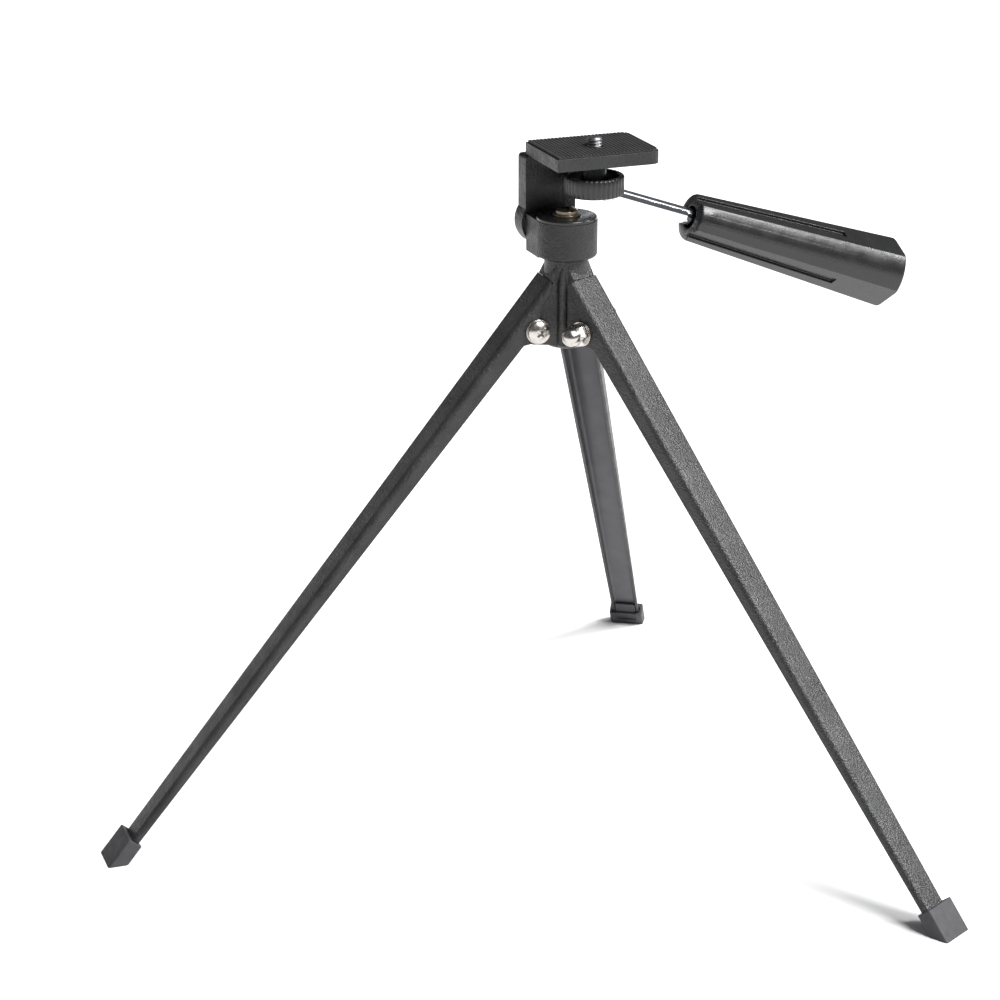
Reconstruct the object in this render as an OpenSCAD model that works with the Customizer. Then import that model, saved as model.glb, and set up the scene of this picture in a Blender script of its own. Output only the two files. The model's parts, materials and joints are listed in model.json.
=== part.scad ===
/* [Stand] */
// Lean of each open leg from upright, in degrees
leg_splay = 39.09; // [34:0.01:43]
// Distance from the pan axis to where a leg's outer face would meet the floor
foot_circle_radius = 196.63; // [192:0.01:201]
// Direction of the first leg, seen from above, in degrees
left_leg_azimuth = 178.09; // [150:0.01:200]
// Distance of the footprint's middle from the pan axis, along X
middle_x = -19.52; // [-60:0.01:60]
// Distance of the footprint's middle from the pan axis, along Y
middle_y = -3.11; // [-60:0.01:60]

/* [Legs] */
// Thickness of the folded sheet steel
sheet = 1.2; // [0.8:0.05:1.4]
// Outside radius of the two long bends
bend_radius = 2.6; // [2:0.1:3]
// Channel width where the leg would meet the floor
foot_end_width = 12.6; // [11.6:0.1:13]
// Widening of the channel for each millimetre up the leg
width_slope = 0.0136; // [0.012:0.0001:0.015]
// Channel depth where the leg would meet the floor
foot_end_depth = 2.6; // [2.3:0.1:2.9]
// Deepening of the channel for each millimetre up the leg
depth_slope = 0.0203; // [0.018:0.0001:0.021]
// Start of the steel above the floor, along the leg
leg_start = 4; // [3.5:0.1:5]
// Gap between an open leg's end and the neck that stops it
stop_gap = 0.05; // [0.02:0.01:0.3]
// Radius of the ear round the pivot hole
ear_radius = 4.8; // [4.2:0.1:5.2]

/* [Leg pivots] */
// Distance of the pivot from the floor, along the leg
pivot_along = 277; // [273:0.1:280]
// Distance of the pivot inward from the leg's outer face
pivot_depth = 8.8; // [8.4:0.1:9]
// Radius of the pivot screw
screw_radius = 2.5; // [2:0.1:2.6]
// Radial clearance of everything that turns on a screw
running_gap = 0.05; // [0.02:0.01:0.1]
// Length of the pivot screw below its head
pivot_screw_length = 25; // [24.6:0.1:25]
// Radius of the screw heads
head_radius = 4.6; // [4:0.1:4.9]
// Height of the pivot screw heads
head_height = 3.2; // [2.4:0.1:3.4]
// Radius of the flat washers
washer_radius = 5; // [4.8:0.1:5.4]
// Thickness of the flat washers
washer_thickness = 0.9; // [0.6:0.1:1.1]
// Distance across the flats of the domed nuts
nut_across_flats = 8; // [7.6:0.1:8.2]
// Height of the six-sided part of the domed nuts
nut_hex_height = 4.5; // [3.5:0.1:5]
// Whole height of the domed nuts
nut_height = 9.5; // [9.2:0.1:10]
// Radius of the dome on the nuts
nut_dome_radius = 3.75; // [3.4:0.05:3.8]

/* [Feet] */
// Width of a rubber foot
foot_width = 15.8; // [15:0.1:17]
// Reach of a foot outward from the leg's outer face
foot_front = 2.3; // [1.5:0.05:3]
// Reach of a foot inward from the leg's outer face
foot_back = 4.3; // [3.8:0.05:4.8]
// Top of a foot above the floor, along the leg
foot_top = 12.8; // [10:0.1:14]
// Corner radius of a foot
foot_corner = 0.9; // [0.5:0.1:1.4]
// Width of the window in a foot's inward side
foot_window = 9.4; // [8:0.1:10]

/* [Hub] */
// Radius of the hub's core and neck
core_radius = 8.9; // [8.6:0.01:9]
// Bottom of the hub below the pivots
hub_drop = 9; // [7:0.1:10]
// Rounding round the hub's bottom
hub_rounding = 2.4; // [1:0.1:3]
// Shoulder that carries the turning head, above the pivots
neck_rise = 27.59; // [25:0.01:32]
// Radius of the spigot that the head turns on
spigot_radius = 6.95; // [6.5:0.01:7.2]
// Thickness of the three lugs between the legs' sides
lug_thickness = 12.8; // [12.2:0.1:13]
// Radius of the lugs round the pivots
lug_radius = 6.2; // [5.4:0.1:6.6]

/* [Pan collar] */
// Outside radius of the collar
collar_radius = 12.5; // [12:0.1:12.8]
// Height of the collar
collar_height = 15; // [14.5:0.1:16]
// Rounding along the collar's bottom edge
collar_rounding = 1.5; // [0.5:0.1:2]
// Face of the collar's block, from the pan axis
block_face = 13.1; // [12.9:0.1:13.2]
// Thickness of the fibre washer under the collar
thrust_thickness = 0.5; // [0.3:0.05:0.6]
// Radius of the cap on top of the collar
cap_radius = 12.2; // [11:0.1:12.3]
// Thickness of the cap
cap_thickness = 1.35; // [1:0.05:1.5]
// Height of the pan screw's head
pan_head_height = 2.8; // [2.2:0.1:3]

/* [Tilt bracket] */
// Tilt axis from the pan axis, along X
tilt_x = -3.4; // [-4:0.1:-2]
// Tilt axis below the collar's top
tilt_drop = 4.1; // [4:0.1:5]
// Radius of the lobe round the tilt axis
lobe_radius = 10.5; // [9.5:0.1:11]
// Left side of the arm
arm_left = -12.2; // [-12.5:0.1:-11]
// Right side of the arm
arm_right = 9.4; // [8.5:0.1:10]
// Front face of the arm, from the pan axis
arm_front = 13.6; // [13.6:0.1:13.8]
// Back face of the arm, from the pan axis
arm_back = 21.9; // [21.5:0.1:23]
// Radius of the tilt screw
tilt_screw_radius = 2; // [1.8:0.1:2]
// Length of the tilt screw below its head
tilt_screw_length = 14.6; // [14:0.1:14.6]

/* [Platform] */
// Underside of the platform above the tilt axis
plate_rise = 27.3; // [27:0.1:29]
// Left end of the platform
plate_left = -10.6; // [-12:0.1:-10]
// Right end of the platform
plate_right = 33.9; // [31:0.1:36]
// Front edge of the platform
plate_front = -16.4; // [-18:0.1:-15]
// Back edge of the platform
plate_back = 18.1; // [17:0.1:19]
// Thickness of the platform's metal
plate_thickness = 5.1; // [4.8:0.1:6]
// Radius of the platform's two right corners
plate_corner = 4.2; // [2:0.1:5]
// Thickness of the ribbed pad
pad_thickness = 0.9; // [0.8:0.1:1.5]
// Distance of the pad's edge from the platform's edge
pad_margin = 0.7; // [0.4:0.1:2]
// Spacing of the pad's ribs
rib_pitch = 1.6; // [1:0.1:2]

/* [Camera screw] */
// Camera screw from the pan axis, along X
camera_x = 11.06; // [10:0.01:12]
// Camera screw from the pan axis, along Y
camera_y = -1.6; // [-3:0.1:0]
// Outside radius of the quarter-inch thread
thread_radius = 3.175; // [3.1:0.005:3.2]
// Reach of the screw above the platform
screw_reach = 3.6; // [3:0.1:5]
// Radius of the thumbwheel
wheel_radius = 12.2; // [11.5:0.1:12.6]
// Bottom of the thumbwheel below the platform
wheel_drop = 13.7; // [12.4:0.1:14]
// Height of the thumbwheel's rim
wheel_height = 8; // [6:0.1:9]
// Number of grooves round the thumbwheel
wheel_grooves = 40; // [30:1:44]

/* [Handle] */
// Slope of the handle below level, in degrees
handle_slope = 19.5; // [15:0.1:22]
// Handle axis above the tilt axis, at the arm's side
handle_rise = 13.7; // [13:0.1:14.5]
// Handle axis from the pan axis, along Y
handle_y = 17.6; // [17.2:0.1:18]
// Radius of the handle's rod
rod_radius = 3.5; // [3:0.1:3.6]
// Start of the grip along the rod
grip_start = 56.3; // [45:0.1:70]
// Length of the grip
grip_length = 99.2; // [85:0.1:110]
// Radius of the grip at the rod
grip_near_radius = 10; // [9:0.1:11]
// Radius of the grip at its free end
grip_far_radius = 15; // [12:0.1:16]
// Distance of the grip's three flats from its middle, as a part of its radius
flat_share = 0.87; // [0.84:0.01:0.95]
// Width of the slots in the flats
slot_width = 3.8; // [2:0.1:4.4]
// Depth of the slots below the flats
slot_depth = 1.2; // [0.6:0.1:2]
// Length of the slots, as a part of the grip
slot_share = 0.72; // [0.5:0.01:0.8]

/* [Hidden] */
$fn = 64;
leg_azimuths = [left_leg_azimuth, left_leg_azimuth + 120, left_leg_azimuth + 240];
LEFT = 0;
RIGHT = 1;
BACK = 2;
skin = 0.1;
pivot_radius = foot_circle_radius - pivot_along * sin(leg_splay) - pivot_depth * cos(leg_splay);
pivot_height = pivot_along * cos(leg_splay) - pivot_depth * sin(leg_splay);
leg_end = (foot_circle_radius - sheet * cos(leg_splay) - core_radius - stop_gap) / sin(leg_splay);
side_flare = atan(width_slope / 2);
pivot_half_width = (foot_end_width + width_slope * pivot_along) / 2;
washer_inner_face = pivot_half_width + 0.08;
washer_outer_face = washer_inner_face + washer_thickness;
bore_radius = screw_radius + running_gap;

hub_bottom = pivot_height - hub_drop;
shoulder = pivot_height + neck_rise;
collar_bottom = shoulder + thrust_thickness + 0.1;
collar_top = collar_bottom + collar_height;
spigot_top = collar_top + 0.15;
cap_top = spigot_top + cap_thickness;
pan_washer_top = cap_top + washer_thickness;
tilt_height = collar_top - tilt_drop;
tilt_bore_radius = tilt_screw_radius + running_gap;
plate_under = tilt_height + plate_rise;
plate_top = plate_under + plate_thickness;
pad_top = plate_top + pad_thickness;
wheel_bottom = plate_under - wheel_drop;
ring_recess_radius = 5.4;
ring_recess_depth = 3;
ring_thickness = 0.7;
groove_radius = 2.35;
far_end = grip_start + grip_length;

// Everything is drawn round the pan axis, then moved so that the footprint's middle is the origin.
module in_place() {
  translate([-middle_x, -middle_y, 0]) children();
}

// X points away from the pan axis in one leg's direction.
module toward_leg(index) {
  in_place() rotate([0, 0, leg_azimuths[index]]) children();
}

// X points out of the leg's outer face and Z runs up the leg.
module on_leg(index) {
  toward_leg(index)
    translate([foot_circle_radius, 0, 0])
      rotate([0, -leg_splay, 0])
        children();
}

// Z runs along the pivot, towards the screw's head.
module on_pivot(index) {
  toward_leg(index)
    translate([pivot_radius, 0, pivot_height])
      rotate([-90, 0, 0])
        children();
}

// Z runs along the tilt axis, backwards.
module on_tilt_axis() {
  in_place()
    translate([tilt_x, 0, tilt_height])
      rotate([-90, 0, 0])
        children();
}

// Z runs along the handle, away from the arm.
module on_handle() {
  in_place()
    translate([arm_right, handle_y, tilt_height + handle_rise])
      rotate([0, 90 + handle_slope, 0])
        children();
}

// A side view, drawn in X and Z, thickened evenly both ways along Y.
module side_view(thickness) {
  rotate([90, 0, 0])
    linear_extrude(height = thickness, center = true)
      children();
}

module flat_washer(outer, inner, thickness) {
  linear_extrude(height = thickness)
    difference() {
      circle(r = outer);
      circle(r = inner);
    }
}

// Two crossed slots, tapering to the bottom.
module cross_recess(reach, depth) {
  for (turn = [0, 90])
    rotate([0, 0, turn + 45])
      rotate([90, 0, 0])
        linear_extrude(height = reach * 0.36, center = true)
          polygon([
            [-reach, depth],
            [reach, depth],
            [reach * 0.45, -depth],
            [-reach * 0.45, -depth]
          ]);
}

// A domed head standing on Z = 0, over a plain shank.
module cross_head_screw(head_r, head_h, shank_r, shank_length) {
  edge = head_h * 0.45;
  difference() {
    union() {
      rotate_extrude()
        intersection() {
          translate([0, head_h - head_r * 1.7])
            circle(r = head_r * 1.7);
          square([head_r, head_h]);
        }
      translate([0, 0, -shank_length + 0.6]) cylinder(r = shank_r, h = shank_length);
      translate([0, 0, -shank_length]) cylinder(r1 = shank_r - 0.6, r2 = shank_r, h = 0.6);
    }
    translate([0, 0, head_h - edge * 0.2]) cross_recess(head_r * 0.52, head_h * 0.62);
  }
}

// Cheek and long bend on the +Y side of a leg.
module leg_side() {
  translate([0, foot_end_width / 2, 0])
    rotate([-side_flare, 0, 0])
      linear_extrude(height = leg_end + 2) {
        translate([-15, -sheet]) square([15 - bend_radius, sheet]);
        translate([-sheet, -bend_radius - 1.5]) square([sheet, 1.5]);
        translate([-bend_radius, -bend_radius])
          intersection() {
            difference() {
              circle(r = bend_radius);
              circle(r = bend_radius - sheet);
            }
            square(bend_radius);
          }
      }
}

// Outer face of a leg, flat and widening upwards.
module leg_web() {
  low = foot_end_width / 2 - bend_radius - 0.75;
  high = low + (leg_end + 2) * tan(side_flare);
  translate([-sheet, 0, 0])
    rotate([90, 0, 90])
      linear_extrude(height = sheet)
        polygon([[-low, 0], [low, 0], [high, leg_end + 2], [-high, leg_end + 2]]);
}

// Side view of a leg: the depth tapers, the cheeks step back at the top and an ear holds the pivot.
module leg_outline() {
  ear_bottom = pivot_along - 8;
  step_depth = 3.95;
  polygon([
    [0, leg_start],
    [0, leg_end],
    [-sheet, leg_end],
    [-bend_radius, leg_end - 2.6],
    [-step_depth, leg_end - 5.6],
    [-step_depth, leg_end - 9.6],
    [-step_depth - 1.3, leg_end - 12.6],
    [-step_depth - 2.5, leg_end - 15],
    [-pivot_depth - ear_radius * 0.7, pivot_along + ear_radius * 0.7],
    [-pivot_depth - ear_radius * 0.7, pivot_along - ear_radius * 0.7],
    [-foot_end_depth - depth_slope * ear_bottom, ear_bottom],
    [-foot_end_depth - depth_slope * leg_start, leg_start]
  ]);
  translate([-pivot_depth, pivot_along]) circle(r = ear_radius);
}

module leg(index) {
  color([0.09, 0.09, 0.095])
    difference() {
      on_leg(index)
        intersection() {
          union() {
            leg_web();
            leg_side();
            mirror([0, 1, 0]) leg_side();
          }
          side_view(40) leg_outline();
        }
      on_pivot(index) cylinder(r = bore_radius, h = 40, center = true);
    }
}

// Filled outline of the leg's end, a little loose, that the rubber grips.
module foot_socket() {
  half = (foot_end_width + width_slope * foot_top) / 2 + skin;
  depth = foot_end_depth + depth_slope * foot_top + skin;
  translate([-depth, -half, leg_start - skin]) cube([depth + skin, 2 * half, foot_top]);
}

// A box with rounded upright edges, tilted with the leg and cut level on the floor.
module foot(index) {
  length = foot_front + foot_back;
  lip = 3.4;
  color([0.36, 0.36, 0.37])
    intersection() {
      on_leg(index)
        union() {
          difference() {
            translate([0, 0, -5])
              linear_extrude(height = foot_top + 5) {
                translate([-foot_back + foot_corner, -foot_width / 2])
                  square([length - 2 * foot_corner, foot_width]);
                translate([-foot_back, -foot_width / 2 + foot_corner])
                  square([length, foot_width - 2 * foot_corner]);
                for (x = [-foot_back + foot_corner, foot_front - foot_corner])
                  for (y = [-1, 1])
                    translate([x, y * (foot_width / 2 - foot_corner)]) circle(r = foot_corner);
              }
            foot_socket();
            translate([-foot_back - 1, -foot_window / 2, leg_start + lip])
              cube([foot_back, foot_window, foot_top]);
          }
          translate([-foot_back + 0.2, -3.5, leg_start - skin])
            cube([foot_back - sheet - 0.35, 7, lip + 0.4]);
        }
      toward_leg(index)
        translate([foot_circle_radius - 40, -20, 0])
          cube([80, 40, 40]);
    }
}

// One lug's side view: round at the pivot, its top sloping beside the open leg.
module lug_outline() {
  top = [
    pivot_radius + lug_radius * cos(leg_splay),
    pivot_height + lug_radius * sin(leg_splay)
  ];
  climb = (top[0] - core_radius + 1) / sin(leg_splay);
  translate([pivot_radius, pivot_height]) circle(r = lug_radius);
  polygon([
    top,
    top + climb * [-sin(leg_splay), cos(leg_splay)],
    [0, top[1] + climb * cos(leg_splay)],
    [0, hub_bottom + 1],
    [pivot_radius, pivot_height - lug_radius]
  ]);
}

module hub() {
  color([0.09, 0.09, 0.095])
    difference() {
      union() {
        in_place()
          rotate_extrude() {
            translate([0, hub_bottom]) square([core_radius - hub_rounding, 5]);
            translate([0, hub_bottom + hub_rounding])
              square([core_radius, shoulder - hub_bottom - hub_rounding]);
            translate([core_radius - hub_rounding, hub_bottom + hub_rounding])
              circle(r = hub_rounding);
            translate([0, shoulder - 1]) square([spigot_radius, spigot_top - shoulder + 1]);
          }
        for (index = [LEFT, RIGHT, BACK])
          toward_leg(index) side_view(lug_thickness) lug_outline();
      }
      in_place()
        translate([0, 0, pan_washer_top - 17])
          cylinder(r = bore_radius, h = 20);
      for (index = [LEFT, RIGHT, BACK])
        on_pivot(index) cylinder(r = bore_radius, h = 40, center = true);
    }
}

module pivot_screw(index) {
  color([0.8, 0.79, 0.76])
    on_pivot(index)
      translate([0, 0, washer_outer_face])
        cross_head_screw(head_radius, head_height, screw_radius, pivot_screw_length);
}

// One flat washer outside each cheek.
module pivot_washers(index) {
  color([0.78, 0.77, 0.73])
    on_pivot(index)
      for (side = [0, 1])
        mirror([0, 0, side])
          translate([0, 0, washer_inner_face])
            flat_washer(washer_radius, bore_radius, washer_thickness);
}

// A domed nut, closed over the screw's end.
module domed_nut(index) {
  hole = pivot_screw_length - 2 * washer_outer_face + 0.12;
  dome_base = nut_height - nut_dome_radius;
  color([0.8, 0.79, 0.76])
    on_pivot(index)
      mirror([0, 0, 1])
        translate([0, 0, washer_outer_face])
          difference() {
            union() {
              intersection() {
                cylinder(r = nut_across_flats / sqrt(3), h = nut_hex_height, $fn = 6);
                translate([0, 0, -nut_across_flats])
                  cylinder(
                    r1 = nut_across_flats * 1.5,
                    r2 = nut_across_flats * 0.48,
                    h = nut_across_flats + nut_hex_height
                  );
              }
              cylinder(r = nut_dome_radius, h = dome_base);
              translate([0, 0, dome_base]) sphere(r = nut_dome_radius);
            }
            translate([0, 0, -1]) cylinder(r = bore_radius, h = hole + 1);
          }
}

module pan_thrust_washer() {
  color([0.35, 0.22, 0.14])
    in_place()
      translate([0, 0, shoulder])
        flat_washer(core_radius - 0.25, spigot_radius + running_gap, thrust_thickness);
}

// A ring that turns on the spigot, with a square block on its back for the tilt screw.
module pan_collar() {
  color([0.1, 0.1, 0.105])
    difference() {
      in_place() {
        rotate_extrude() {
          translate([0, collar_bottom]) square([collar_radius - collar_rounding, collar_height]);
          translate([0, collar_bottom + collar_rounding])
            square([collar_radius, collar_height - collar_rounding]);
          translate([collar_radius - collar_rounding, collar_bottom + collar_rounding])
            circle(r = collar_rounding);
        }
        translate([arm_left, 0, collar_bottom])
          cube([arm_right - arm_left, block_face, collar_height]);
      }
      in_place()
        translate([0, 0, collar_bottom - 1])
          cylinder(r = spigot_radius + running_gap, h = collar_height + 2);
      on_tilt_axis()
        translate([0, 0, arm_back + washer_thickness - tilt_screw_length - 0.1])
          cylinder(r = tilt_bore_radius, h = 20);
    }
}

// The plate on top of the spigot that keeps the collar down.
module pan_cap() {
  color([0.05, 0.05, 0.055])
    in_place()
      translate([0, 0, spigot_top])
        rotate_extrude()
          difference() {
            union() {
              square([cap_radius - 0.5, cap_thickness]);
              square([cap_radius, cap_thickness - 0.5]);
              translate([cap_radius - 0.5, cap_thickness - 0.5]) circle(r = 0.5);
            }
            translate([-1, -1]) square([bore_radius + 1, cap_thickness + 2]);
          }
}

module pan_washer() {
  color([0.78, 0.74, 0.62])
    in_place()
      translate([0, 0, cap_top])
        flat_washer(washer_radius + 0.6, bore_radius, washer_thickness);
}

module pan_screw() {
  color([0.8, 0.77, 0.66])
    in_place()
      translate([0, 0, pan_washer_top])
        cross_head_screw(head_radius, pan_head_height, screw_radius, 16);
}

module tilt_friction_washer() {
  gap = 0.05;
  color([0.35, 0.22, 0.14])
    on_tilt_axis()
      intersection() {
        translate([0, 0, block_face])
          flat_washer(lobe_radius - 1.5, tilt_bore_radius, arm_front - block_face - gap);
        translate([-20, -(collar_top - tilt_height), 0])
          cube([40, 40, 40]);
      }
}

module tilt_washer() {
  color([0.78, 0.77, 0.73])
    on_tilt_axis()
      translate([0, 0, arm_back + running_gap])
        flat_washer(washer_radius - 0.5, tilt_bore_radius, washer_thickness - running_gap);
}

module tilt_screw() {
  color([0.8, 0.79, 0.76])
    on_tilt_axis()
      translate([0, 0, arm_back + washer_thickness])
        cross_head_screw(head_radius - 0.9, 2.4, tilt_screw_radius, tilt_screw_length);
}

// Arm of the bracket seen from the front, with the round lobe at its foot.
module arm_outline() {
  translate([tilt_x, tilt_height]) circle(r = lobe_radius);
  translate([arm_left + 1.5, tilt_height]) square([arm_right - arm_left - 1.5, plate_rise + 0.2]);
  translate([arm_left, tilt_height]) square([4, plate_rise - 1.3]);
  translate([arm_left + 1.5, plate_under - 1.3]) circle(r = 1.5);
}

// Outline of the platform, set back by a margin, with two round corners on the right.
module plate_outline(margin, corner) {
  left = plate_left + margin;
  right = plate_right - margin;
  front = plate_front + margin;
  back = plate_back - margin;
  translate([left, front]) square([right - left - corner, back - front]);
  translate([left, front + corner]) square([right - left, back - front - 2 * corner]);
  translate([right - corner, front + corner]) circle(r = corner);
  translate([right - corner, back - corner]) circle(r = corner);
}

// Arm and platform are one casting. A shallow tray on top holds the pad.
module tilt_bracket() {
  tray = 0.4;
  color([0.1, 0.1, 0.105])
    difference() {
      union() {
        in_place() {
          translate([0, (arm_front + arm_back) / 2, 0])
            side_view(arm_back - arm_front) arm_outline();
          translate([0, 0, plate_under])
            linear_extrude(height = plate_thickness) plate_outline(0, plate_corner);
        }
        on_handle() translate([0, 0, -3]) cylinder(r = rod_radius + 0.5, h = 4.3);
      }
      in_place() {
        translate([0, 0, plate_top - tray])
          linear_extrude(height = 2) plate_outline(pad_margin, plate_corner - pad_margin);
        translate([camera_x, camera_y, plate_under - 1])
          cylinder(r = thread_radius + 0.3, h = plate_thickness + 2);
        translate([camera_x, camera_y, plate_top - tray - ring_recess_depth])
          cylinder(r = ring_recess_radius, h = ring_recess_depth + 2);
      }
      on_tilt_axis() cylinder(r = tilt_bore_radius, h = 40);
      on_handle() translate([0, 0, -10]) cylinder(r = bore_radius, h = 20);
    }
}

// Rubber pad with fine ribs that run from front to back.
module platform_pad() {
  tray = 0.4;
  rib_height = 0.35;
  margin = pad_margin + skin;
  first = plate_left + margin;
  count = floor((plate_right - plate_left - 2 * margin) / rib_pitch);
  color([0.13, 0.13, 0.13])
    in_place()
      difference() {
        translate([0, 0, plate_top - tray])
          linear_extrude(height = pad_thickness + tray)
            plate_outline(margin, plate_corner - margin);
        for (step = [1 : count])
          translate([first + step * rib_pitch - 0.2, plate_front - 1, pad_top - rib_height])
            cube([0.4, plate_back - plate_front + 2, 1]);
        translate([camera_x, camera_y, plate_top - 1])
          cylinder(r = thread_radius + 0.4, h = 5);
      }
}

// Split clip in the screw's groove that keeps the screw in the platform.
module retaining_ring() {
  color([0.7, 0.7, 0.7])
    in_place()
      translate([camera_x, camera_y, plate_top - 0.4 - 0.1 - ring_thickness])
        difference() {
          flat_washer(ring_recess_radius - 0.6, groove_radius + running_gap, ring_thickness);
          translate([0, -1.2, -1]) cube([10, 2.4, 3]);
        }
}

// Quarter-inch camera screw: a slim shank in the wheel, a groove for the clip, then the thread.
module camera_screw() {
  groove_low = plate_top - 0.4 - 0.2 - ring_thickness;
  groove_high = plate_top - 0.4;
  tip = 0.8;
  color([0.75, 0.75, 0.76])
    in_place()
      translate([camera_x, camera_y, 0]) {
        translate([0, 0, wheel_bottom + 0.6])
          cylinder(r = 2.8, h = groove_low - wheel_bottom - 0.6);
        translate([0, 0, groove_low - 1])
          cylinder(r = groove_radius, h = groove_high - groove_low + 2);
        translate([0, 0, groove_high])
          cylinder(r = thread_radius - 0.2, h = pad_top - groove_high + 1);
        translate([0, 0, pad_top])
          cylinder(r = thread_radius, h = screw_reach - tip);
        translate([0, 0, pad_top + screw_reach - tip])
          cylinder(r1 = thread_radius, r2 = thread_radius - tip, h = tip);
      }
}

// Cup-shaped thumbwheel with a grooved rim and a boss that reaches the platform.
module thumbwheel() {
  floor_thickness = 2.6;
  rim = 2;
  groove = 0.42;
  color([0.08, 0.08, 0.08])
    in_place()
      translate([camera_x, camera_y, wheel_bottom])
        difference() {
          union() {
            rotate_extrude() {
              difference() {
                union() {
                  square([wheel_radius, wheel_height - 0.8]);
                  square([wheel_radius - 0.8, wheel_height]);
                  translate([wheel_radius - 0.8, wheel_height - 0.8]) circle(r = 0.8);
                }
                translate([0, floor_thickness])
                  square([wheel_radius - rim, wheel_height]);
              }
            }
            cylinder(r = 5, h = wheel_drop - 0.1);
          }
          for (index = [1 : wheel_grooves])
            rotate([0, 0, index * 360 / wheel_grooves])
              translate([wheel_radius + 0.1, 0, -1])
                cylinder(r = groove, h = wheel_height + 2, $fn = 24);
          translate([0, 0, 0.5]) cylinder(r = 2.85, h = 20);
        }
}

module handle_rod() {
  shoulder_at = 1.35;
  color([0.85, 0.86, 0.88])
    on_handle() {
      translate([0, 0, -9.8]) cylinder(r = screw_radius, h = 15);
      translate([0, 0, shoulder_at])
        cylinder(r = rod_radius, h = grip_start + 42 - shoulder_at);
    }
}

// Flaring grip: three round lobes, three flats, and a slot along each flat from the rod's end.
module handle_grip() {
  flare = (grip_far_radius - grip_near_radius) / grip_length;
  near_edge = 1.2;
  far_edge = 0.9;
  flat_lean = atan(flare * flat_share);
  color([0.07, 0.07, 0.075])
    on_handle()
      translate([0, 0, grip_start])
        difference() {
          rotate_extrude()
            polygon([
              [0, 0],
              [grip_near_radius - near_edge, 0],
              [grip_near_radius - near_edge * 0.35, near_edge * 0.3],
              [grip_near_radius, near_edge],
              [grip_far_radius, grip_length - far_edge],
              [grip_far_radius - far_edge * 0.35, grip_length - far_edge * 0.3],
              [grip_far_radius - far_edge, grip_length],
              [0, grip_length]
            ]);
          for (turn = [79, 199, 319])
            rotate([0, 0, turn])
              translate([grip_near_radius * flat_share, 0, 0])
                rotate([0, flat_lean, 0]) {
                  translate([0, -20, -10])
                    cube([20, 40, grip_length + 20]);
                  translate([-slot_depth, -slot_width / 2, -1])
                    cube([20, slot_width, grip_length * slot_share + 1]);
                }
          translate([0, 0, -1]) cylinder(r = rod_radius + 1.4, h = 9);
          translate([0, 0, -1]) cylinder(r = rod_radius + running_gap, h = 44);
        }
}

hub();
pan_thrust_washer();
pan_cap();
pan_washer();
pan_screw();
leg(LEFT);  // leg_left
leg(RIGHT);  // leg_right
leg(BACK);  // leg_back
foot(LEFT);  // foot_left
foot(RIGHT);  // foot_right
foot(BACK);  // foot_back
pivot_screw(LEFT);  // pivot_screw_left
pivot_screw(RIGHT);  // pivot_screw_right
pivot_screw(BACK);  // pivot_screw_back
pivot_washers(LEFT);  // pivot_washers_left
pivot_washers(RIGHT);  // pivot_washers_right
pivot_washers(BACK);  // pivot_washers_back
domed_nut(LEFT);  // domed_nut_left
domed_nut(RIGHT);  // domed_nut_right
domed_nut(BACK);  // domed_nut_back
pan_collar();
tilt_friction_washer();
tilt_washer();
tilt_screw();
tilt_bracket();
platform_pad();
handle_rod();
handle_grip();
retaining_ring();
camera_screw();
thumbwheel();
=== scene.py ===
import json
import math

import bmesh
import bpy
from mathutils import Matrix, Vector


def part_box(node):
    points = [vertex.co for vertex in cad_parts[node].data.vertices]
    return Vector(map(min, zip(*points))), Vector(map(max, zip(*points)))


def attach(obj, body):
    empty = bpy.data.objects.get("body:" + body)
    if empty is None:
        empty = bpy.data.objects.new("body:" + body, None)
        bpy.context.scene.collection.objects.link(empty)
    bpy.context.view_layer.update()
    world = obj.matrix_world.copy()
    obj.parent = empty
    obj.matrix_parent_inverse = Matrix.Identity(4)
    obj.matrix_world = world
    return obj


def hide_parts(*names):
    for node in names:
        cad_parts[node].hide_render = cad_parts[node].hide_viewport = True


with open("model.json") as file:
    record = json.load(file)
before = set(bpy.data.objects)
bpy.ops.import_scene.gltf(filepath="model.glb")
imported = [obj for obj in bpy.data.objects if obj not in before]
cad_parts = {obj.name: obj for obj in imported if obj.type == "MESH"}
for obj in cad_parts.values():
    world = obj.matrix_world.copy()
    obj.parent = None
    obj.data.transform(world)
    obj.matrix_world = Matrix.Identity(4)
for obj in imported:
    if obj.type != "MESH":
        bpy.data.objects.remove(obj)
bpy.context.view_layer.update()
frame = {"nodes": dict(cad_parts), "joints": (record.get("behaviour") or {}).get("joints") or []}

MM = 0.001
UP = Vector((0, 0, 1))
SIDES = ("left", "right", "back")
JOINTS = {joint["name"]: joint for joint in frame["joints"]}
PAN_AXIS = Vector(JOINTS["pan"]["pos_m"])

# The open leg leans out by this angle, and its pivot lies this deep behind its outer face.
LEG_SPLAY = math.radians(39.09)
PIVOT_DEPTH = 8.8 * MM
SHEET = 1.2 * MM
BEND_RADIUS = 1.9 * MM
CORE_RADIUS = 8.9 * MM
LUG_HALF_WIDTH = 6.4 * MM


# ---------------------------------------------------------------- materials


def new_material(name):
    """An empty procedural material: its node tree and its surface shader."""
    material = bpy.data.materials.new(name)
    material.use_nodes = True
    tree = material.node_tree
    shader = next(n for n in tree.nodes if n.type == "BSDF_PRINCIPLED")
    return material, tree, shader


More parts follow.
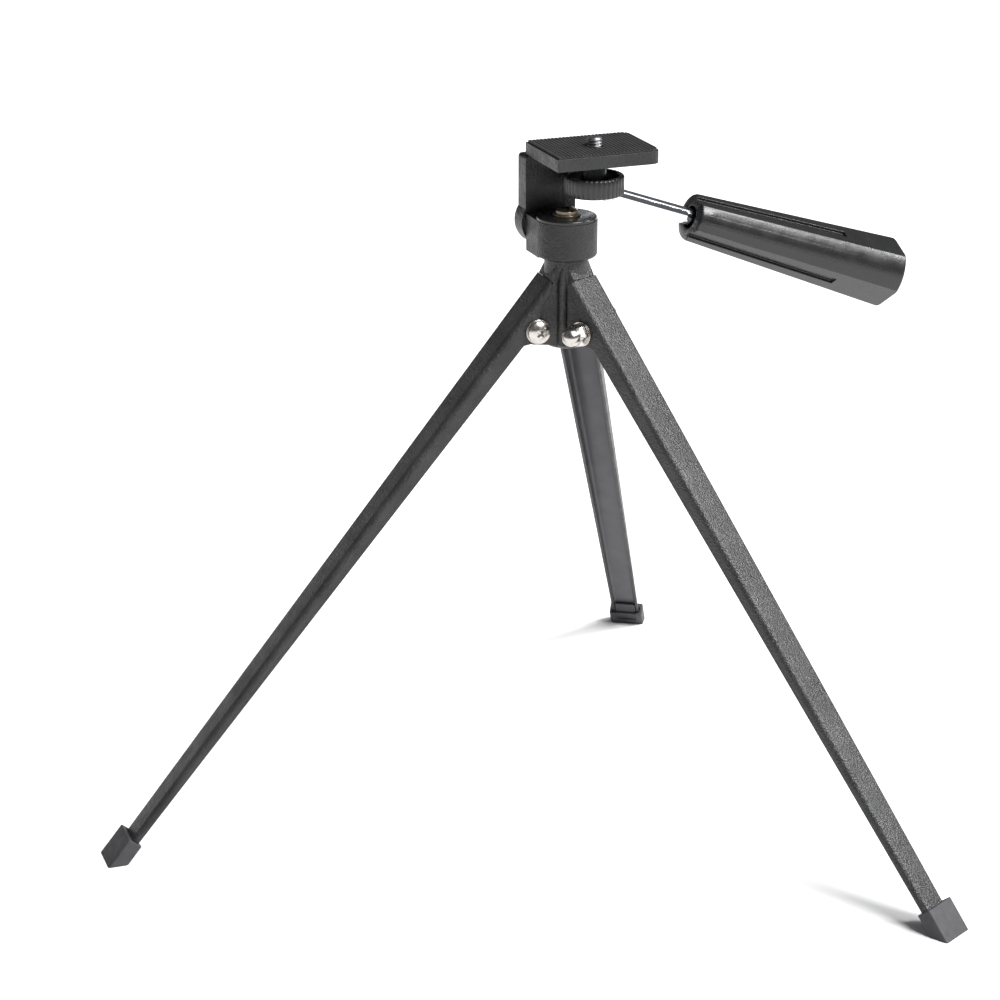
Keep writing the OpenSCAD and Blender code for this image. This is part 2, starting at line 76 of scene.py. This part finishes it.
def noise(tree, scale, detail=3.0, stretch=(1, 1, 1)):
    """Noise on the piece's own coordinates, scale in cells per metre."""
    place = tree.nodes.new("ShaderNodeTexCoord")
    mapping = tree.nodes.new("ShaderNodeMapping")
    mapping.inputs["Scale"].default_value = stretch
    tree.links.new(place.outputs["Object"], mapping.inputs["Vector"])
    texture = tree.nodes.new("ShaderNodeTexNoise")
    texture.inputs["Scale"].default_value = scale
    texture.inputs["Detail"].default_value = detail
    tree.links.new(mapping.outputs["Vector"], texture.inputs["Vector"])
    return texture.outputs["Fac"]


def cells(tree, scale):
    """Distance to the nearest point of a random pattern, scale in cells per metre."""
    place = tree.nodes.new("ShaderNodeTexCoord")
    texture = tree.nodes.new("ShaderNodeTexVoronoi")
    texture.feature = "SMOOTH_F1"
    texture.inputs["Scale"].default_value = scale
    tree.links.new(place.outputs["Object"], texture.inputs["Vector"])
    return texture.outputs["Distance"]


def ramp(tree, value, low, high, start=0.3, end=0.7):
    """Maps a noise value to a colour between low and high."""
    node = tree.nodes.new("ShaderNodeValToRGB")
    node.color_ramp.elements[0].position = start
    node.color_ramp.elements[1].position = end
    node.color_ramp.elements[0].color = (*low, 1)
    node.color_ramp.elements[1].color = (*high, 1)
    tree.links.new(value, node.inputs["Fac"])
    return node.outputs["Color"]


def spread(tree, value, low, high, start=0.3, end=0.7):
    """Maps a noise value to a number between low and high."""
    node = tree.nodes.new("ShaderNodeMapRange")
    node.inputs["From Min"].default_value = start
    node.inputs["From Max"].default_value = end
    node.inputs["To Min"].default_value = low
    node.inputs["To Max"].default_value = high
    tree.links.new(value, node.inputs["Value"])
    return node.outputs["Result"]


def relief(tree, value, depth, before=None):
    """Bump of that depth in metres, on top of another bump if given."""
    node = tree.nodes.new("ShaderNodeBump")
    node.inputs["Distance"].default_value = depth
    tree.links.new(value, node.inputs["Height"])
    if before is not None:
        tree.links.new(before, node.inputs["Normal"])
    return node.outputs["Normal"]


def surface(
    name,
    dark,
    light,
    roughness,
    metallic=0.0,
    specular=0.5,
    patch=60.0,
    grain=2500.0,
    grain_depth=0.02 * MM,
    cell=None,
    cell_depth=0.1 * MM,
    stretch=(1, 1, 1),
):
    """A finish with mottled colour, uneven gloss and fine relief. Colours are linear, patch, grain
    and cell count spots per metre, and roughness is its lowest and highest value."""
    material, tree, shader = new_material(name)
    shader.inputs["Metallic"].default_value = metallic
    shader.inputs["Specular IOR Level"].default_value = specular
    link = tree.links.new
    link(ramp(tree, noise(tree, patch), dark, light), shader.inputs["Base Color"])
    link(
        spread(tree, noise(tree, patch * 3.1), roughness[0], roughness[1]),
        shader.inputs["Roughness"],
    )
    bump = None
    if cell:
        bump = relief(tree, cells(tree, cell), cell_depth)
    bump = relief(tree, noise(tree, grain, 2.0, stretch), grain_depth, bump)
    link(bump, shader.inputs["Normal"])
    return material


def grey(level, tint=(1, 1, 1)):
    """A linear colour of that brightness, with a tint."""
    return tuple(level * t for t in tint)


COOL_TINT = (1.0, 0.97, 1.06)

CRINKLE = surface(
    "black_crinkle_paint",
    grey(0.013),
    grey(0.030),
    (0.28, 0.46),
    specular=0.45,
    cell=1350,
    cell_depth=0.28 * MM,
    grain=2800,
    grain_depth=0.15 * MM,
)
CAST = surface(
    "crinkle_paint_on_casting",
    grey(0.010),
    grey(0.020),
    (0.38, 0.54),
    specular=0.42,
    cell=1000,
    cell_depth=0.28 * MM,
    grain=2400,
    grain_depth=0.11 * MM,
)
INSIDE = surface(
    "smooth_paint_inside_legs",
    grey(0.055, COOL_TINT),
    grey(0.072, COOL_TINT),
    (0.34, 0.46),
    specular=0.35,
    grain=900,
    grain_depth=0.01 * MM,
)
CAP = surface(
    "glossy_black_cap",
    grey(0.008),
    grey(0.013),
    (0.14, 0.26),
    grain=700,
    grain_depth=0.01 * MM,
)
NICKEL = surface(
    "nickel_plate",
    (0.46, 0.43, 0.40),
    (0.62, 0.59, 0.56),
    (0.20, 0.30),
    metallic=1.0,
    patch=260,
    grain=1500,
    grain_depth=0.006 * MM,
)
GOLD_TINT = surface(
    "yellowed_nickel_plate",
    (0.24, 0.20, 0.14),
    (0.38, 0.33, 0.25),
    (0.24, 0.38),
    metallic=1.0,
    patch=260,
    grain=1500,
    grain_depth=0.008 * MM,
)
CHROME = surface(
    "polished_chrome",
    (0.74, 0.76, 0.80),
    (0.86, 0.88, 0.91),
    (0.05, 0.10),
    metallic=1.0,
    patch=120,
    grain=900,
    grain_depth=0.002 * MM,
)
STEEL = surface(
    "zinc_plated_steel",
    (0.22, 0.22, 0.23),
    (0.34, 0.34, 0.35),
    (0.30, 0.42),
    metallic=1.0,
    patch=400,
    grain=3000,
    grain_depth=0.01 * MM,
)
GRIP = surface(
    "fine_grained_grip",
    grey(0.010),
    grey(0.015),
    (0.22, 0.32),
    specular=0.55,
    cell=1900,
    cell_depth=0.035 * MM,
    grain=4200,
    grain_depth=0.02 * MM,
)
WHEEL = surface(
    "satin_black_wheel",
    grey(0.011),
    grey(0.018),
    (0.24, 0.38),
    grain=1800,
    grain_depth=0.02 * MM,
)
GREY_RUBBER = surface(
    "grey_rubber",
    grey(0.034, COOL_TINT),
    grey(0.050, COOL_TINT),
    (0.50, 0.66),
    specular=0.35,
    patch=140,
    grain=1600,
    grain_depth=0.015 * MM,
)
PAD = surface(
    "matt_black_rubber",
    grey(0.022),
    grey(0.034),
    (0.60, 0.78),
    specular=0.3,
    patch=160,
    grain=2600,
    grain_depth=0.03 * MM,
)
FIBRE = surface(
    "vulcanised_fibre",
    (0.014, 0.011, 0.009),
    (0.030, 0.022, 0.016),
    (0.6, 0.8),
    patch=500,
    grain=1500,
    grain_depth=0.02 * MM,
    stretch=(1, 1, 6),
)


# ---------------------------------------------------------------- geometry


def new_piece(name, mesh):
    """An object in the scene with that mesh."""
    piece = bpy.data.objects.new(name, mesh)
    bpy.context.scene.collection.objects.link(piece)
    return piece


def smooth(mesh):
    """Shades every face smoothly."""
    for face in mesh.polygons:
        face.use_smooth = True


def clean_copy(node, whole_faces):
    """The CAD node's mesh without its packed normals, and if asked with triangles joined to faces."""
    same_point = 0.003 * MM
    same_plane = math.radians(0.6)
    mesh = frame["nodes"][node].data.copy()
    for attribute in [a.name for a in mesh.attributes if a.name == "custom_normal"]:
        mesh.attributes.remove(mesh.attributes[attribute])
    shape = bmesh.new()
    shape.from_mesh(mesh)
    bmesh.ops.remove_doubles(shape, verts=shape.verts, dist=same_point)
    if whole_faces:
        bmesh.ops.dissolve_limit(shape, angle_limit=same_plane, verts=shape.verts, edges=shape.edges)
    shape.to_mesh(mesh)
    shape.free()
    mesh.materials.clear()
    smooth(mesh)
    for face in mesh.polygons:
        face.material_index = 0
    return mesh


def soften(piece, width, segments=2, clamp=False, sharp_over=28):
    """Rounds every edge that turns by more than sharp_over degrees, by that width."""
    bevel = piece.modifiers.new("edges", "BEVEL")
    bevel.width = width
    bevel.segments = segments
    bevel.limit_method = "ANGLE"
    bevel.angle_limit = math.radians(sharp_over)
    bevel.harden_normals = True
    bevel.use_clamp_overlap = clamp
    bevel.miter_outer = "MITER_ARC"
    return piece


def dress(node, body, material, width, segments=2, clamp=False, sharp_over=28):
    """A softened, painted copy that stands for one CAD node. Where clamp is set, the rounding is
    held back where it would run into its neighbours."""
    mesh = clean_copy(node, whole_faces=not clamp)
    mesh.materials.append(material)
    piece = soften(new_piece(node + "_piece", mesh), width, segments, clamp, sharp_over)
    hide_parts(node)
    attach(piece, body)
    return piece


def turned(name, profile, columns, radius_at=None):
    """A closed mesh of revolution. profile is (radius, height) pairs from the bottom middle to the
    top middle, and radius_at(radius, height, angle) may change each point's radius."""
    points, faces = [], []
    rows = []
    for radius, height in profile:
        if radius == 0:
            rows.append([len(points)] * columns)
            points.append((0, 0, height))
            continue
        row = []
        for column in range(columns):
            angle = 2 * math.pi * column / columns
            r = radius_at(radius, height, angle) if radius_at else radius
            row.append(len(points))
            points.append((r * math.cos(angle), r * math.sin(angle), height))
        rows.append(row)
    for low, high in zip(rows, rows[1:]):
        for a in range(columns):
            b = (a + 1) % columns
            corners = [low[a], low[b], high[b], high[a]]
            face = [c for i, c in enumerate(corners) if c != corners[i - 1]]
            if len(face) > 2:
                faces.append(face)
    mesh = bpy.data.meshes.new(name)
    mesh.from_pydata(points, [], faces)
    smooth(mesh)
    return mesh


def leg_frame(side):
    """Origin on the outer face level with the pivot, and the outward, sideways and upward axes."""
    joint = JOINTS["fold_" + side]
    across = Vector(joint["axis"])
    away = across.cross(UP)
    up = UP * math.cos(LEG_SPLAY) - away * math.sin(LEG_SPLAY)
    out = away * math.cos(LEG_SPLAY) + UP * math.sin(LEG_SPLAY)
    origin = Vector(joint["pos_m"]) + out * PIVOT_DEPTH
    return origin, out, across, up


def round_bends(piece, side):
    """Rounds the two long outer edges, where the sheet is bent from the web into the cheeks."""
    along_leg, squarely = 0.95, 0.98
    _, out, across, up = leg_frame(side)
    shape = bmesh.new()
    shape.from_mesh(piece.data)
    bends = []
    for edge in shape.edges:
        along = (edge.verts[1].co - edge.verts[0].co).normalized()
        if len(edge.link_faces) != 2 or abs(along.dot(up)) < along_leg:
            continue
        if edge.calc_length() < BEND_RADIUS:
            continue
        outward = max(face.normal.dot(out) for face in edge.link_faces)
        sideways = max(abs(face.normal.dot(across)) for face in edge.link_faces)
        if outward > squarely and sideways > squarely:
            bends.append(edge)
    bmesh.ops.bevel(
        shape,
        geom=bends,
        offset=BEND_RADIUS,
        segments=5,
        profile=0.5,
        affect="EDGES",
        clamp_overlap=False,
    )
    shape.to_mesh(piece.data)
    shape.free()
    smooth(piece.data)


def paint_inside(piece, side):
    """Faces that look into the channel take the second material."""
    origin, out, across, _ = leg_frame(side)
    piece.data.materials.append(INSIDE)
    for face in piece.data.polygons:
        offset = face.center - origin
        sideways = math.copysign(1, offset.dot(across))
        faces_middle = face.normal.dot(across) * sideways < -0.3
        faces_in = face.normal.dot(out) < -0.5 and offset.dot(out) > -2 * MM
        if faces_middle or faces_in:
            face.material_index = 1


def add_to(piece, mesh):
    """Puts a second closed shape into a piece, with the piece's first material."""
    shape = bmesh.new()
    shape.from_mesh(piece.data)
    shape.from_mesh(mesh)
    shape.to_mesh(piece.data)
    shape.free()
    smooth(piece.data)


def prism(corners, half_width, across):
    """A closed block with that outline, reaching half_width to both sides along across."""
    count = len(corners)
    points = [c + across * s * half_width for s in (-1, 1) for c in corners]
    faces = [tuple(range(count - 1, -1, -1)), tuple(range(count, 2 * count))]
    faces += [(i, (i + 1) % count, (i + 1) % count + count, i + count) for i in range(count)]
    mesh = bpy.data.meshes.new("block")
    mesh.from_pydata(points, [], faces)
    shape = bmesh.new()
    shape.from_mesh(mesh)
    bmesh.ops.recalc_face_normals(shape, faces=shape.faces)
    shape.to_mesh(mesh)
    shape.free()
    return mesh


# ---------------------------------------------------------------- hub and foot details


def shoulder(side, neck_top):
    """The casting's slope from the neck down to the end of one leg."""
    gap, step_in, depth = 0.06 * MM, 0.4 * MM, 7 * MM
    origin, out, across, up = leg_frame(side)
    away = across.cross(UP)
    leg = frame["nodes"]["leg_" + side].data
    outer_face = [v.co - origin for v in leg.vertices if (v.co - origin).dot(out) > -0.1 * MM]
    above_leg = origin + up * (max(offset.dot(up) for offset in outer_face) + gap)
    high = Vector((PAN_AXIS.x, PAN_AXIS.y, neck_top - 1.3 * MM))
    outline = [
        high + away * 3 * MM,
        high + away * 0.7 * CORE_RADIUS,
        above_leg - out * step_in,
        above_leg - out * depth,
    ]
    return prism(outline, LUG_HALF_WIDTH, across)


def rib(side, bottom, neck_top):
    """An upright rib on the hub's core, opposite one leg, that tapers off below the neck."""
    radius, sunk = 2.1 * MM, 0.7 * MM
    profile = [
        (0, bottom + 1.2 * MM),
        (1.7 * MM, bottom + 1.5 * MM),
        (radius, bottom + 4 * MM),
        (radius, neck_top - 10 * MM),
        (1.3 * MM, neck_top - 5 * MM),
        (0.4 * MM, neck_top - 1.8 * MM),
        (0, neck_top - 1.5 * MM),
    ]
    away = leg_frame(side)[2].cross(UP)
    mesh = turned("rib", profile, 24)
    axis = Vector((PAN_AXIS.x, PAN_AXIS.y, 0))
    mesh.transform(Matrix.Translation(axis - away * (CORE_RADIUS - sunk)))
    return mesh


def add_shoulders_and_ribs(hub):
    """One shoulder over each leg's end and one rib opposite each leg."""
    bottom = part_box("hub")[0].z
    neck_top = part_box("pan_thrust_washer")[0].z
    for side in SIDES:
        add_to(hub, shoulder(side, neck_top))
        add_to(hub, rib(side, bottom, neck_top))


def add_plug_and_shade_block(foot, side):
    """The rubber that fills the end of the leg's channel, and higher up the channel a thinner block
    of the same dark rubber that stands in as painted shade inside the channel.
    """
    origin, out, across, up = leg_frame(side)
    half_width = 4.9 * MM
    plug = (271 * MM, 264.6 * MM, 3.8 * MM)
    # painted shade: this thinner dark block darkens the channel above the plug, where the channel
    # lies in shade
    shade_block = (266 * MM, 257.5 * MM, 2.7 * MM)
    for low, high, depth in (plug, shade_block):
        outline = [
            origin - up * low - out * SHEET,
            origin - up * low - out * depth,
            origin - up * high - out * depth,
            origin - up * high - out * SHEET,
        ]
        add_to(foot, prism(outline, half_width, across))


# ---------------------------------------------------------------- camera screw and thumbwheel


def camera_screw():
    """Stem, groove for the clip and a real thread of twenty turns to the inch."""
    pitch, major, minor = 1.27 * MM, 3.175 * MM, 2.55 * MM
    stem, groove = 2.8 * MM, 2.35 * MM
    end_chamfer, top_chamfer = 0.3 * MM, 0.75 * MM
    clip_play, run_in = 0.1 * MM, 2.5
    steps, columns = 56, 72
    low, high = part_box("camera_screw")
    clip_low, clip_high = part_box("retaining_ring")
    middle = (low + high) / 2
    groove_low = clip_low.z - clip_play
    thread_start = clip_high.z + clip_play
    profile = [
        (0, low.z),
        (stem - end_chamfer, low.z),
        (stem, low.z + end_chamfer),
        (stem, groove_low - clip_play / 2),
        (groove, groove_low),
        (groove, thread_start),
    ]
    for i in range(steps + 1):
        profile.append((major, thread_start + (high.z - thread_start) * i / steps))
    profile.append((0, high.z))

    def radius_at(radius, height, angle):
        """The thread's flanks, cut back at its start and at the chamfered top."""
        if radius < major:
            return radius
        turn = ((height - thread_start) / pitch - angle / (2 * math.pi)) % 1
        tooth = 1 - abs(2 * turn - 1)
        rounded = min(max((tooth - 0.08) / 0.84, 0), 1)
        flank = minor + (major - minor) * rounded
        start = groove + (height - thread_start) * run_in
        end = major - max(0, height - (high.z - top_chamfer))
        return min(flank, start, end)

    mesh = turned("camera_screw_piece", profile, columns, radius_at)
    mesh.transform(Matrix.Translation((middle.x, middle.y, 0)))
    return new_piece("camera_screw_piece", mesh)


def thumbwheel():
    """A cup with a ribbed rim, a dished glossy floor and a tapered boss."""
    rim_height, hole, edge = 8 * MM, 2.85 * MM, 0.55 * MM
    ribs, columns_per_rib = 36, 10
    groove_depth, rib_flatness = 0.5 * MM, 0.45
    low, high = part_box("thumbwheel")
    middle = (low + high) / 2
    outside = (high.x - low.x) / 2
    rim_top = low.z + rim_height
    profile = [
        (hole, low.z + 0.5 * MM),
        (hole, low.z + 0.05 * MM),
        (hole + 0.3 * MM, low.z),
        (outside - 1.6 * MM, low.z),
        (outside - 0.9 * MM, low.z + 0.1 * MM),
        (outside - 0.35 * MM, low.z + 0.35 * MM),
        (outside, low.z + edge + 0.2 * MM),
        (outside, rim_top - edge - 0.2 * MM),
        (outside - 0.2 * MM, rim_top - 0.3 * MM),
        (outside - 0.6 * MM, rim_top - 0.05 * MM),
        (outside - 0.95 * MM, rim_top),
        (outside - 1.6 * MM, rim_top - 0.02 * MM),
        (outside - 2.0 * MM, rim_top - 0.3 * MM),
        (outside - 2.15 * MM, rim_top - 0.8 * MM),
        (outside - 2.5 * MM, low.z + 5.2 * MM),
        (outside - 3.4 * MM, low.z + 3.7 * MM),
        (outside - 4.8 * MM, low.z + 2.9 * MM),
        (5.6 * MM, low.z + 2.75 * MM),
        (5.1 * MM, low.z + 3.1 * MM),
        (4.95 * MM, low.z + 4.0 * MM),
        (4.9 * MM, high.z - 0.4 * MM),
        (4.6 * MM, high.z - 0.05 * MM),
        (4.2 * MM, high.z),
        (hole + 0.2 * MM, high.z),
        (hole, high.z - 0.2 * MM),
        (hole, low.z + 0.5 * MM),
    ]

    def radius_at(radius, height, angle):
        """Grooves between the ribs, on the rim's outer face only."""
        if radius < outside - 0.75 * MM:
            return radius
        wave = abs(math.cos(angle * ribs / 2))
        return radius - groove_depth * (1 - wave**rib_flatness)

    mesh = turned("thumbwheel_piece", profile, ribs * columns_per_rib, radius_at)
    mesh.transform(Matrix.Translation((middle.x, middle.y, 0)))
    return new_piece("thumbwheel_piece", mesh)


# ---------------------------------------------------------------- the pieces

for side in SIDES:
    body = f"leg_{side}_body"
    leg = dress("leg_" + side, body, CRINKLE, 0.25 * MM, sharp_over=50)
    round_bends(leg, side)
    paint_inside(leg, side)
    foot = dress("foot_" + side, body, GREY_RUBBER, 0.35 * MM, 3)
    add_plug_and_shade_block(foot, side)
    dress("pivot_screw_" + side, "stand", NICKEL, 0.15 * MM)
    dress("pivot_washers_" + side, "stand", NICKEL, 0.12 * MM)
    dress("domed_nut_" + side, "stand", NICKEL, 0.2 * MM)

hub = dress("hub", "stand", CRINKLE, 0.3 * MM, sharp_over=50)
add_shoulders_and_ribs(hub)
dress("pan_thrust_washer", "stand", FIBRE, 0.06 * MM)
dress("pan_cap", "stand", CAP, 0.15 * MM, clamp=True)
dress("pan_washer", "stand", GOLD_TINT, 0.12 * MM)
dress("pan_screw", "stand", GOLD_TINT, 0.15 * MM)
dress("pan_collar", "pan_head", CAST, 0.4 * MM, 3, clamp=True)
dress("tilt_friction_washer", "pan_head", FIBRE, 0.06 * MM)
dress("tilt_washer", "pan_head", NICKEL, 0.12 * MM)
dress("tilt_screw", "pan_head", NICKEL, 0.15 * MM)
dress("tilt_bracket", "tilt_head", CAST, 0.15 * MM)
dress("platform_pad", "tilt_head", PAD, 0.08 * MM)
dress("handle_rod", "tilt_head", CHROME, 0.2 * MM)
dress("handle_grip", "tilt_head", GRIP, 0.3 * MM, 3)
dress("retaining_ring", "screw_clip", STEEL, 0.08 * MM)

screw = camera_screw()
screw.data.materials.append(STEEL)
wheel = thumbwheel()
wheel.data.materials.append(WHEEL)
for piece, node, slot in ((screw, "camera_screw", "steel"), (wheel, "thumbwheel", "wheel_plastic")):
    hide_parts(node)
    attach(piece, "screw_wheel")


# ---------------------------------------------------------------- floor, light and camera

floor_mesh = bpy.data.meshes.new("floor")
reach = 9
floor_mesh.from_pydata(
    [(-reach, -reach, 0), (reach, -reach, 0), (reach, reach, 0), (-reach, reach, 0)],
    [],
    [(0, 1, 2, 3)],
)
floor_material, floor_tree, floor_shader = new_material("white_paper")
floor_shader.inputs["Roughness"].default_value = 0.95
floor_shader.inputs["Specular IOR Level"].default_value = 0.1
floor_tree.links.new(
    ramp(floor_tree, noise(floor_tree, 3), grey(0.90), grey(0.92)),
    floor_shader.inputs["Base Color"],
)
floor_mesh.materials.append(floor_material)
new_piece("floor", floor_mesh)

world = bpy.data.worlds.new("studio")
bpy.context.scene.world = world
world.use_nodes = True
sky = world.node_tree
background = next(n for n in sky.nodes if n.type == "BACKGROUND")
background.inputs["Color"].default_value = (0.93, 0.95, 1.0, 1)
background.inputs["Strength"].default_value = 0.12


def sun(name, toward, strength, spread_degrees):
    """Soft parallel light that comes from the direction toward."""
    data = bpy.data.lights.new(name, "SUN")
    data.energy = strength
    data.angle = math.radians(spread_degrees)
    lamp = bpy.data.objects.new(name, data)
    lamp.rotation_euler = Vector(toward).to_track_quat("Z", "Y").to_euler()
    bpy.context.scene.collection.objects.link(lamp)


VIEW_TURN = math.radians(-21.14)
RIGHTWARD = Vector((math.cos(VIEW_TURN), math.sin(VIEW_TURN), 0))

sun("overhead", RIGHTWARD * 0.45 + UP, 1.3, 50)
sun("key", (0.34, -0.60, 0.76), 4.2, 28)
sun("side", (0.80, -0.20, 0.56), 2.0, 12)

camera_data = bpy.data.cameras.new("camera")
camera_data.lens = 103.67
camera_data.sensor_width = 36
camera = bpy.data.objects.new("camera", camera_data)
camera.location = (PAN_AXIS.x - 0.42931, PAN_AXIS.y - 1.03644, 0.541)
camera.rotation_euler = (math.radians(70), 0, VIEW_TURN)
bpy.context.scene.collection.objects.link(camera)
bpy.context.scene.camera = camera
bpy.context.scene.view_settings.view_transform = "Standard"
